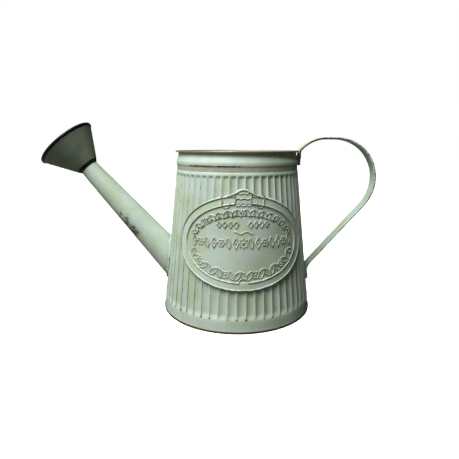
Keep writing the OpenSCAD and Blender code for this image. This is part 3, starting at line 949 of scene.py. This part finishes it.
def make_rose_cone(finish):
    """Sheet cone with a lap seam, on a flat hub that turns on the sleeve."""
    end = ROSE_RIM - ROSE_ROLL_R - SEAT_GAP
    end_r = ROSE_R - ROSE_ROLL_R
    slope = (end_r - FLARE_R) / (end - CONE_START)
    wall = SHEET / math.cos(math.atan(slope))
    profile = rounded([(HUB_IN_R, CONE_START), (FLARE_R, CONE_START), (end_r, end), (end_r - wall, end),
                       (FLARE_R - wall + slope * SHEET, HUB_END), (HUB_IN_R, HUB_END)],
                      [0.1, 0.3, 0.15, 0.1, 0.1, 0.1], True, 20)
    profile = dense(profile, 1.5)
    around = 200
    points = revolve(profile, around)
    radius = profile[:, 0][:, None]
    height = profile[:, 1][:, None]
    line = FLARE_R + (height - CONE_START) * slope
    outside = smooth_step(0.35, 0.05, np.abs(radius - line))
    outside = outside * smooth_step(FLARE_R + 0.3, FLARE_R + 2, radius)
    from_seam = (bearings_round(around) - math.radians(ROSE_SEAM_BEARING)) * radius
    seam = ROSE_SEAM_UP * smooth_step(-2.0, -1.7, from_seam) * smooth_step(2.4, 0.8, from_seam) * outside
    points[..., :2] *= ((radius + seam) / np.maximum(radius, 1))[..., None]
    worn = bell(height - CONE_START, 0.8) * 0.7 + bell(height - end, 1.0) * 0.8 + seam
    make_piece("rose_cone_sheet", "rose", "rose_cone", on_spout(points), finish, worn=worn,
               hollow=0.1 + 0 * worn)


def spray_holes(face_r):
    """Centres of the spray holes: one in the middle and rings of six more each time."""
    pitch = face_r / (SPRAY_RINGS + 0.7)
    centres = []
    for ring in range(SPRAY_RINGS + 1):
        holes = max(1, 6 * ring)
        for i in range(holes):
            angle = math.radians(i * 360 / holes + ring * 8)
            centres.append((ring * pitch * math.cos(angle), ring * pitch * math.sin(angle)))
    return centres


def face_plan(face_r, centres):
    """Flat triangles of the face round its spray holes: (places, faces)."""
    places, loops = [], []

    def add_loop(centre, radius, steps):
        loops.append(range(len(places), len(places) + steps))
        for i in range(steps):
            angle = 2 * math.pi * i / steps
            x, y = centre[0] + radius * math.cos(angle), centre[1] + radius * math.sin(angle)
            places.append(Vector((x, y)))

    def clear_of_holes(place, distance):
        return all((place - Vector(centre)).length > distance for centre in centres)

    add_loop((0, 0), face_r, 96)
    for centre in centres:
        add_loop(centre, SPRAY_R, 16)
        add_loop(centre, SPRAY_R + BURR_W, 16)
    for ring in range(1, FACE_RINGS):
        for i in range(6 * ring):
            angle = 2 * math.pi * i / (6 * ring)
            place = Vector((math.cos(angle), math.sin(angle))) * (face_r * ring / FACE_RINGS)
            if clear_of_holes(place, SPRAY_R + 0.9):
                places.append(place)
    edges = [(loop[i], loop[(i + 1) % len(loop)]) for loop in loops for i in range(len(loop))]
    verts, _, faces, _, _, _ = delaunay_2d_cdt(places, edges, [], 0, 1e-6)

    def solid(face):
        middle = sum((verts[i] for i in face), Vector((0, 0))) / len(face)
        return middle.length < face_r and clear_of_holes(middle, SPRAY_R * 0.98)

    return np.array([(vert.x, vert.y) for vert in verts]), [list(face) for face in faces if solid(face)]


def make_rose_face(finish):
    """Domed face pierced with spray holes, its edge rolled round the cone."""
    face_r = ROSE_R - 1.5 * ROSE_ROLL_R
    dome_r = (face_r ** 2 + FACE_DOME ** 2) / (2 * FACE_DOME)
    centres = spray_holes(face_r)
    plan, faces = face_plan(face_r, centres)
    radius = np.hypot(plan[:, 0], plan[:, 1])
    from_hole = np.min([np.hypot(plan[:, 0] - x, plan[:, 1] - y) for x, y in centres], axis=0) - SPRAY_R
    lift = ROSE_RIM + np.sqrt(dome_r ** 2 - np.minimum(radius, face_r) ** 2) - dome_r + FACE_DOME
    under = np.column_stack([plan, lift])
    over = np.column_stack([plan, lift + SHEET + BURR_UP * bell(from_hole, 0.3)])
    count = len(plan)
    sides = {(vert, face[(i + 1) % len(face)]): True for face in faces for i, vert in enumerate(face)}
    all_faces = [[i + count for i in face] for face in faces] + [face[::-1] for face in faces]
    all_faces += [[a, b, b + count, a + count] for a, b in sides if (b, a) not in sides]

    roll = bearings_round(20)
    profile = np.column_stack([ROSE_R - ROSE_ROLL_R + ROSE_ROLL_R * np.cos(roll),
                               ROSE_RIM + ROSE_ROLL_R * np.sin(roll)])
    rolled_edge = revolve(profile, 240)
    all_faces += [[i + 2 * count for i in face] for face in grid_faces(*rolled_edge.shape[:2], True, True)]
    points = on_spout(np.concatenate([under, over, rolled_edge.reshape(-1, 3)]))
    hole_rub = bell(from_hole, 0.5)
    worn = np.concatenate([hole_rub, hole_rub, np.full(len(points) - 2 * count, 0.95)])
    make_piece("rose_spray_face", "rose", "rose_face", points, finish, all_faces, sharp=50, worn=worn,
               hollow=0.2 + 0 * worn)


# ======== handle ========

def foot_tab_x(z):
    """Middle of the strap where its hems rest on the flutes beside the middle of the tab."""
    return math.sqrt(taper_r(z) ** 2 - (STRAP_W / 2 - HEM_W) ** 2) + SEAT_GAP + HEM_T / 2


def strap_line():
    """The strap's middle line from its tab under the rim, over the loop, to its tab on the wall."""
    loop_top = CAN_H + HANDLE_UP
    slope = math.radians(RUN_ANGLE)
    leave = math.radians(LEAVE_ANGLE)
    rim_bend_len = RIM_BEND_R * math.tan((math.pi / 2 - leave) / 2)
    shoulder_bend_r = (HANDLE_UP / math.sin(leave) - rim_bend_len - BEND_CLEAR) / math.tan(leave / 2)
    rim_corner = (LIP_R + SEAT_GAP + HEM_T / 2, CAN_H)
    rim_end = (BULGE_R + SEAT_GAP + HEM_T / 2, CAN_H - RIM_TAB)
    shoulder = (rim_corner[0] + HANDLE_UP / math.tan(leave), loop_top)
    run = (HANDLE_REACH - LOOP_R + LOOP_R * math.tan((math.pi - slope) / 2), loop_top)
    foot_z = CAN_H / 4
    for _ in range(8):
        foot_z = loop_top - (run[0] - foot_tab_x(foot_z)) * math.tan(slope)
    bend = math.pi / 2 - slope + math.atan(TAPER)
    end_z = foot_z - FOOT_BEND_R * math.tan(bend / 2) - FOOT_TAB
    corners = [rim_end, rim_corner, shoulder, run, (foot_tab_x(foot_z), foot_z), (foot_tab_x(end_z), end_z)]
    bends = [0, RIM_BEND_R, shoulder_bend_r, LOOP_R, FOOT_BEND_R, 0]
    return dense(rounded(corners, bends, False, 2.5), 2.5, False)


def strap_section():
    """The strap cut across: (across, through) points of a thin web between two round hems."""
    hem_r = HEM_T / 2
    hem_middle = STRAP_W / 2 - hem_r
    lean = math.asin(WEB_T / 2 / hem_r)
    turns = np.linspace(-math.pi + lean, math.pi - lean, 17)
    right = [(hem_middle + hem_r * math.cos(turn), hem_r * math.sin(turn)) for turn in turns]
    web = [(share * (hem_middle - 1.6), WEB_T / 2) for share in (1, 0.5, 0, -0.5, -1)]
    left = [(-across, -through) for across, through in right]
    return np.array(right + web + left + [(-across, -through) for across, through in web])


def make_strap(finish):
    """Hemmed strip swept along its line."""
    line = strap_line()
    heading = units(np.gradient(line, axis=0))[:, None]
    section = strap_section()
    across, through = section[:, 0], section[:, 1]
    points = np.stack([line[:, :1] - heading[..., 1] * through, across + 0 * line[:, :1],
                       line[:, 1:] + heading[..., 0] * through], -1)
    count, columns = points.shape[:2]
    faces = grid_faces(count, columns, False, True)
    faces += [list(range(columns)), [(count - 1) * columns + i for i in range(columns)]]
    out = np.abs(across)
    run = np.concatenate([[0], np.cumsum(np.linalg.norm(np.diff(line, axis=0), axis=1))])
    hem = smooth_step(STRAP_W / 2 - 1.3, STRAP_W / 2, out)[None, :]
    shoulder_rub = bell(run[:, None] - 26, 14)
    worn = hem * (0.42 + 0.4 * shoulder_rub) + 0.08
    # Painted shade in the grooves between the web and the hems, through the hollow mask.
    groove = bell(out - (STRAP_W / 2 - HEM_W - 0.2), 0.5)[None, :] * 0.5 + 0 * worn
    make_piece("handle_strip", "can", "handle_strap", points, finish, faces, sharp=50, worn=worn,
               hollow=groove)


def make_rivet_pair(name, node, z, inside, outside, finish):
    """Two rivets side by side at a height, with their heads outside and clinched ends inside the can."""
    turns = np.linspace(0, math.pi / 2, 8)
    dome = [(RIVET_HEAD_D / 2 * math.cos(turn), RIVET_HEAD_H * math.sin(turn)) for turn in turns]
    head = [(radius, outside + rise) for radius, rise in dome]
    clinch = [(radius, inside - rise) for radius, rise in dome[::-1]]
    profile = np.array(clinch + [(RIVET_D / 2, inside), (RIVET_D / 2, outside)] + head)
    around = 32
    turned = revolve(profile, around)
    rub = smooth_step(outside, outside + RIVET_HEAD_H, profile[:, 1])[:, None] * 0.8
    points, faces, worn = [], [], []
    for side in (-1, 1):
        shift = len(points) * turned.shape[0] * around
        across = turned[..., 1] + side * RIVET_PITCH / 2
        points.append(np.stack([turned[..., 2], across, z - turned[..., 0]], -1))
        faces += [[i + shift for i in face] for face in grid_faces(len(profile), around, False, True)]
        worn.append(rub + np.zeros((1, around)))
    make_piece(name, "can", node, np.concatenate(points), finish, faces, weld=0.005,
               worn=np.concatenate(worn))


def make_rivets(finish):
    """Round-headed rivets on the strap's tabs, clinched over inside the can."""
    line = strap_line()
    rim_z = (CAN_H - LIP_T + BULGE_Z) / 2 + 0.4
    foot_z = line[-1][1] + FOOT_TAB / 2
    rim_x = float(np.interp(rim_z, line[:8, 1], line[:8, 0]))
    rim_in = math.sqrt((NECK_R - SHEET - SEAT_GAP) ** 2 - RIVET_PITCH ** 2)
    foot_in = math.sqrt((taper_r(foot_z) - FLUTE_DEPTH - 2 * SHEET) ** 2 - RIVET_PITCH ** 2)
    foot_seat = WEB_T / 2 + TAPER * RIVET_HEAD_D / 2 + 3 * SEAT_GAP
    make_rivet_pair("rim_rivet_pair", "rim_rivets", rim_z, rim_in, rim_x + WEB_T, finish)
    foot_x = foot_tab_x(foot_z) + foot_seat
    make_rivet_pair("foot_rivet_pair", "foot_rivets", foot_z, foot_in, foot_x, finish)


# ======== light and floor ========

FLOOR_HALF = 6000.0
FLOOR_WHITE = rgb(243, 243, 241)
FLOOR_SHADE = rgb(236, 236, 234)
FLOOR_WASH = 3.75
KEY_BEARING = -36.0
KEY_HEIGHT = 57.0
KEY_AIM_Z = 90.0
KEY_AWAY = 1000.0
KEY_SIZE = 600.0
KEY_POWER = 18.3
KEY_TINT = (1.0, 0.995, 0.985)
BACKDROP_WHITE = (1.0, 1.0, 1.0, 1.0)
DIM_TINT = (0.97, 0.98, 0.86, 1.0)
DIM_HANDLE_SIDE = 0.02
DIM_SPOUT_SIDE = 0.31
DIM_REACH = 0.9


def make_floor():
    """Plain pale floor with a light of its own, which falls on nothing else."""
    half = FLOOR_HALF
    mesh = new_mesh("floor", [(-half, -half, 0), (half, -half, 0), (half, half, 0), (-half, half, 0)],
                    [(0, 1, 2, 3)])
    floor = place_object("floor", mesh)
    finish = Finish("floor_paper")
    speck = finish.noise(3, 2)
    finish.shade(Base_Color=finish.mix(speck * 0.2, FLOOR_WHITE, FLOOR_SHADE), Roughness=0.9,
                 Specular_IOR_Level=0.1)
    mesh.materials.append(finish.material)
    floor.visible_diffuse = False
    floor.visible_glossy = False
    wash = bpy.data.lights.new("floor_wash", "SUN")
    wash.energy = FLOOR_WASH
    lamp = place_object("floor_wash", wash)
    only_floor = bpy.data.collections.new("only_floor")
    only_floor.objects.link(floor)
    lamp.light_linking.receiver_collection = only_floor
    lamp.light_linking.blocker_collection = only_floor


def make_key_light():
    """One broad soft light, high in front on the spout's side."""
    key = bpy.data.lights.new("key", "AREA")
    key.shape = "SQUARE"
    key.size = KEY_SIZE * MM
    key.energy = KEY_POWER
    key.color = KEY_TINT
    lamp = place_object("key", key)
    bearing, height = math.radians(KEY_BEARING), math.radians(KEY_HEIGHT)
    towards = Vector((math.sin(bearing) * math.cos(height), -math.cos(bearing) * math.cos(height),
                      math.sin(height)))
    lamp.location = (Vector((0, 0, KEY_AIM_Z)) + towards * KEY_AWAY) * MM
    lamp.rotation_euler = towards.to_track_quat("Z", "Y").to_euler()


def make_dim_light():
    """Dim light all round, stronger on the spout's side, behind a backdrop that is seen as white."""
    world = bpy.data.worlds.new("studio")
    bpy.context.scene.world = world
    world.use_nodes = True
    nodes, links = world.node_tree.nodes, world.node_tree.links
    nodes.clear()
    place = nodes.new("ShaderNodeTexCoord")
    split = nodes.new("ShaderNodeSeparateXYZ")
    ramp = nodes.new("ShaderNodeMapRange")
    for socket, level in (("From Min", DIM_REACH), ("From Max", -DIM_REACH),
                          ("To Min", DIM_HANDLE_SIDE), ("To Max", DIM_SPOUT_SIDE)):
        ramp.inputs[socket].default_value = level
    dim = nodes.new("ShaderNodeBackground")
    dim.inputs["Color"].default_value = DIM_TINT
    white = nodes.new("ShaderNodeBackground")
    white.inputs["Color"].default_value = BACKDROP_WHITE
    path = nodes.new("ShaderNodeLightPath")
    choose = nodes.new("ShaderNodeMixShader")
    output = nodes.new("ShaderNodeOutputWorld")
    for source, target in ((place.outputs["Generated"], split.inputs[0]),
                           (split.outputs["X"], ramp.inputs["Value"]),
                           (ramp.outputs["Result"], dim.inputs["Strength"]),
                           (path.outputs["Is Camera Ray"], choose.inputs["Fac"]),
                           (dim.outputs[0], choose.inputs[1]),
                           (white.outputs[0], choose.inputs[2]),
                           (choose.outputs[0], output.inputs["Surface"])):
        links.new(source, target)
    bpy.context.scene.view_settings.view_transform = "Standard"


def main():
    make_camera()
    finishes = make_finishes()
    make_wall(finishes["can"])
    make_collar(finishes["can"])
    make_base(finishes["can"])
    make_plate(finishes["can"])
    make_spout(finishes["spout"])
    make_solder(finishes["can"])
    make_sleeve(finishes["rose"])
    make_rose_cone(finishes["rose"])
    make_rose_face(finishes["rose"])
    make_strap(finishes["can"])
    make_rivets(finishes["can"])
    make_floor()
    make_key_light()
    make_dim_light()


main()
